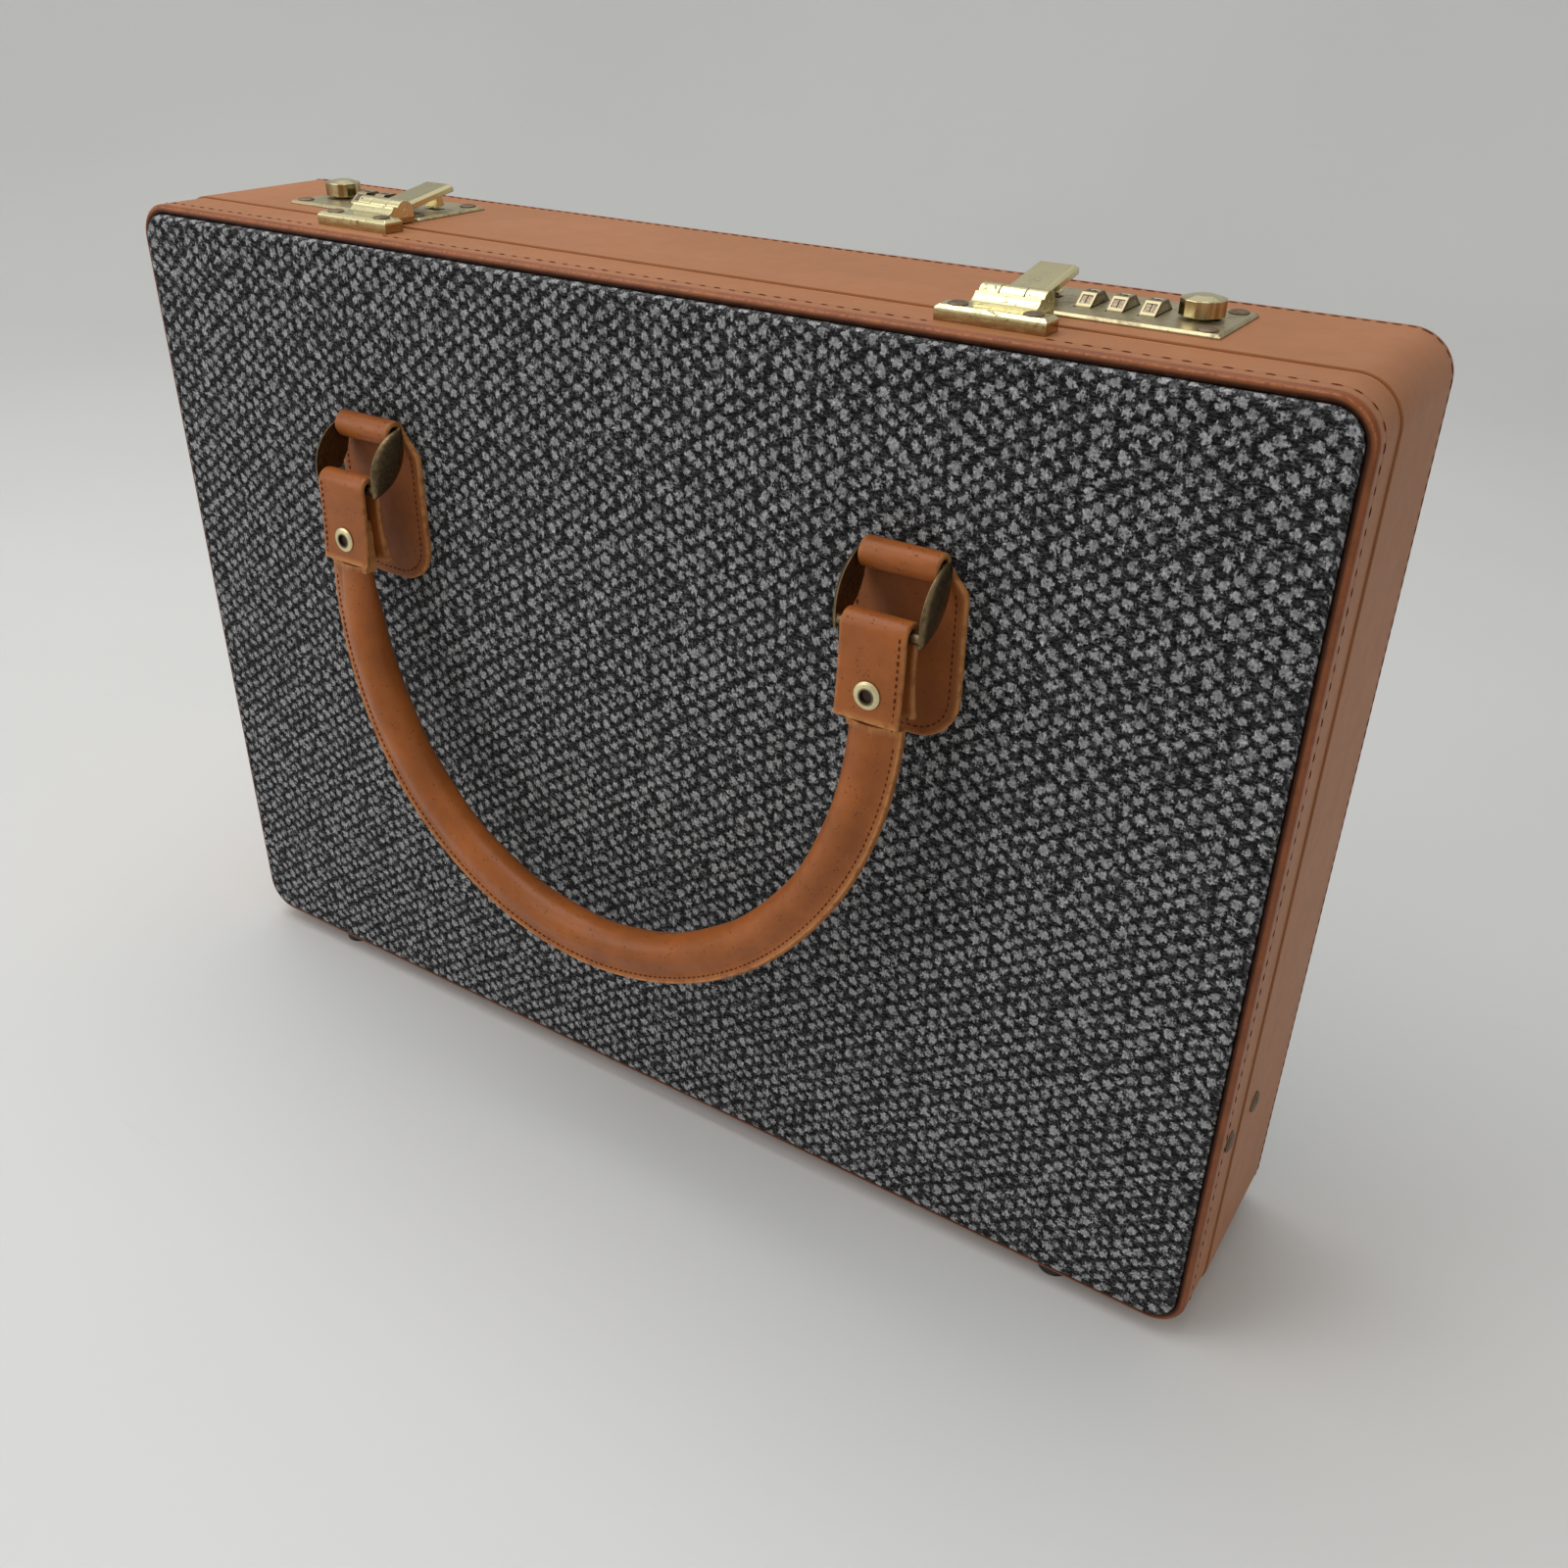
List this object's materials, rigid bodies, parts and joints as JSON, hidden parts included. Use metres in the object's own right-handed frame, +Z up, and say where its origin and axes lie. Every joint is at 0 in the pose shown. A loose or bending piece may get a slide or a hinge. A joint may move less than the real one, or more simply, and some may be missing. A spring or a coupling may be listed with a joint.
{
  "type": "briefcase",
  "caption": "Attache case with grey tweed panels, tan shell, two brass combination locks with hasps, and drop handles front and back",
  "frame": {"origin": "middle of the footprint, on the surface under the feet", "axes": "+X width, -Y front face with the lid, +Z up"},
  "size_m": [0.4422, 0.1446, 0.3219],
  "materials": {
    "tan_shell": "smooth tan vinyl over wood, lightly scuffed",
    "fibre_board": "plain board",
    "tweed": "thick grey nubby weave",
    "welt_leather": "orange-brown half-round welt",
    "lining_cloth": "plain beige lining",
    "lip_leather": "smooth",
    "hinge_brass": "satin",
    "foot_rubber": "matt",
    "aged_brass": "aged, brushed",
    "steel_sheet": "plain",
    "rivet_brass": "dull, browned",
    "hasp_brass": "bright, worn",
    "wheel_brass": "polished flats",
    "knob_brass": "polished",
    "stay_brass": "satin",
    "antique_metal": "antique bronze plating, rubbed bright on edges",
    "handle_leather": "waxed brown leather with dark stitching",
    "eyelet_brass": "pale"
  },
  "bodies": {
    "case": {"case_frame": "tan_shell", "case_back_board": "fibre_board", "rear_tweed_panel": "tweed", "rear_welt": "welt_leather", "case_lining": "lining_cloth", "dust_lip": "lip_leather", "case_hinge_leaves": "hinge_brass", "hinge_pins": "hinge_brass", "case_feet": "foot_rubber", "lock_plate_left": "aged_brass", "lock_plate_right": "aged_brass", "lock_housing_left": "steel_sheet", "lock_housing_right": "steel_sheet", "dial_shaft_left": "steel_sheet", "dial_shaft_right": "steel_sheet", "detent_spring_left": "steel_sheet", "detent_spring_right": "steel_sheet", "lock_rivets": "rivet_brass", "case_stay_rivets": "rivet_brass", "rear_handle_patches": "handle_leather"},
    "lid": {"lid_frame": "tan_shell", "lid_front_board": "fibre_board", "front_tweed_panel": "tweed", "front_welt": "welt_leather", "lid_lining": "lining_cloth", "lid_hinge_leaves": "hinge_brass", "lid_feet": "foot_rubber", "hasp_base_left": "hasp_brass", "hasp_base_right": "hasp_brass", "hasp_base_rivets": "rivet_brass", "hasp_pins": "rivet_brass", "lid_stay_rivets": "rivet_brass", "front_handle_patches": "handle_leather"},
    "hasp_left": {"hasp_left": "hasp_brass"},
    "hasp_right": {"hasp_right": "hasp_brass"},
    "dial_left_1": {"dial_left_1": "wheel_brass"},
    "dial_left_2": {"dial_left_2": "wheel_brass"},
    "dial_left_3": {"dial_left_3": "wheel_brass"},
    "dial_right_1": {"dial_right_1": "wheel_brass"},
    "dial_right_2": {"dial_right_2": "wheel_brass"},
    "dial_right_3": {"dial_right_3": "wheel_brass"},
    "knob_left": {"knob_left": "knob_brass", "latch_slider_left": "steel_sheet"},
    "knob_right": {"knob_right": "knob_brass", "latch_slider_right": "steel_sheet"},
    "case_stay_left": {"case_stay_left": "stay_brass", "elbow_rivet_left": "rivet_brass"},
    "case_stay_right": {"case_stay_right": "stay_brass", "elbow_rivet_right": "rivet_brass"},
    "lid_stay_left": {"lid_stay_left": "stay_brass"},
    "lid_stay_right": {"lid_stay_right": "stay_brass"},
    "front_rings": {"front_rings": "antique_metal"},
    "front_handle": {"front_grip": "handle_leather", "front_grip_tabs": "handle_leather", "front_eyelets": "eyelet_brass"},
    "rear_rings": {"rear_rings": "antique_metal"},
    "rear_handle": {"rear_grip": "handle_leather", "rear_grip_tabs": "handle_leather", "rear_eyelets": "eyelet_brass"}
  },
  "joints": [
    {"name": "lid_hinge", "type": "hinge", "parent": "case", "child": "lid", "pos_m": [0, -0.019, 0.0024], "axis": [1, 0, 0], "range_deg": [0, 95]},
    {"name": "hasp_left", "type": "hinge", "parent": "lid", "child": "hasp_left", "pos_m": [-0.1175, -0.0157, 0.3163], "axis": [1, 0, 0], "range_deg": [-10, 75], "stiffness_Nm_per_rad": 0.01},
    {"name": "hasp_right", "type": "hinge", "parent": "lid", "child": "hasp_right", "pos_m": [0.1175, -0.0157, 0.3163], "axis": [1, 0, 0], "range_deg": [-10, 75], "stiffness_Nm_per_rad": 0.01},
    {"name": "dial_left_1", "type": "hinge", "parent": "case", "child": "dial_left_1", "pos_m": [-0.1305, 0.0055, 0.3093], "axis": [1, 0, 0], "continuous": true},
    {"name": "dial_left_2", "type": "hinge", "parent": "case", "child": "dial_left_2", "pos_m": [-0.1395, 0.0055, 0.3093], "axis": [1, 0, 0], "continuous": true},
    {"name": "dial_left_3", "type": "hinge", "parent": "case", "child": "dial_left_3", "pos_m": [-0.1485, 0.0055, 0.3093], "axis": [1, 0, 0], "continuous": true},
    {"name": "dial_right_1", "type": "hinge", "parent": "case", "child": "dial_right_1", "pos_m": [0.1305, 0.0055, 0.3093], "axis": [1, 0, 0], "continuous": true},
    {"name": "dial_right_2", "type": "hinge", "parent": "case", "child": "dial_right_2", "pos_m": [0.1395, 0.0055, 0.3093], "axis": [1, 0, 0], "continuous": true},
    {"name": "dial_right_3", "type": "hinge", "parent": "case", "child": "dial_right_3", "pos_m": [0.1485, 0.0055, 0.3093], "axis": [1, 0, 0], "continuous": true},
    {"name": "knob_left", "type": "slide", "parent": "case", "child": "knob_left", "axis": [-1, 0, 0], "range_m": [0, 0.003], "stiffness_N_per_m": 200},
    {"name": "knob_right", "type": "slide", "parent": "case", "child": "knob_right", "axis": [1, 0, 0], "range_m": [0, 0.003], "stiffness_N_per_m": 200},
    {"name": "case_stay_left", "type": "hinge", "parent": "case", "child": "case_stay_left", "pos_m": [-0.2129, -0.0055, 0.0809], "axis": [1, 0, 0], "range_deg": [0, 95]},
    {"name": "lid_stay_left", "type": "hinge", "parent": "lid", "child": "lid_stay_left", "pos_m": [-0.2114, -0.0286, 0.0819], "axis": [1, 0, 0], "range_deg": [-95, 0]},
    {"name": "case_stay_right", "type": "hinge", "parent": "case", "child": "case_stay_right", "pos_m": [0.2129, -0.0055, 0.0809], "axis": [1, 0, 0], "range_deg": [0, 95]},
    {"name": "lid_stay_right", "type": "hinge", "parent": "lid", "child": "lid_stay_right", "pos_m": [0.2114, -0.0286, 0.0819], "axis": [1, 0, 0], "range_deg": [-95, 0]},
    {"name": "front_rings", "type": "hinge", "parent": "lid", "child": "front_rings", "pos_m": [0, -0.0458, 0.2505], "axis": [-1, 0, 0], "range_deg": [-3, 125]},
    {"name": "front_handle", "type": "hinge", "parent": "front_rings", "child": "front_handle", "pos_m": [0, -0.05785, 0.23392], "axis": [-1, 0, 0], "range_deg": [-3, 43]},
    {"name": "rear_rings", "type": "hinge", "parent": "case", "child": "rear_rings", "pos_m": [0, 0.0458, 0.2505], "axis": [1, 0, 0], "range_deg": [-3, 125]},
    {"name": "rear_handle", "type": "hinge", "parent": "rear_rings", "child": "rear_handle", "pos_m": [0, 0.05785, 0.23392], "axis": [1, 0, 0], "range_deg": [-3, 43]}
  ],
  "couplings": [
    {"joint": "case_stay_left", "follows": "lid_hinge", "ratio": 1},
    {"joint": "lid_stay_left", "follows": "lid_hinge", "ratio": -1},
    {"joint": "case_stay_right", "follows": "lid_hinge", "ratio": 1},
    {"joint": "lid_stay_right", "follows": "lid_hinge", "ratio": -1}
  ]
}
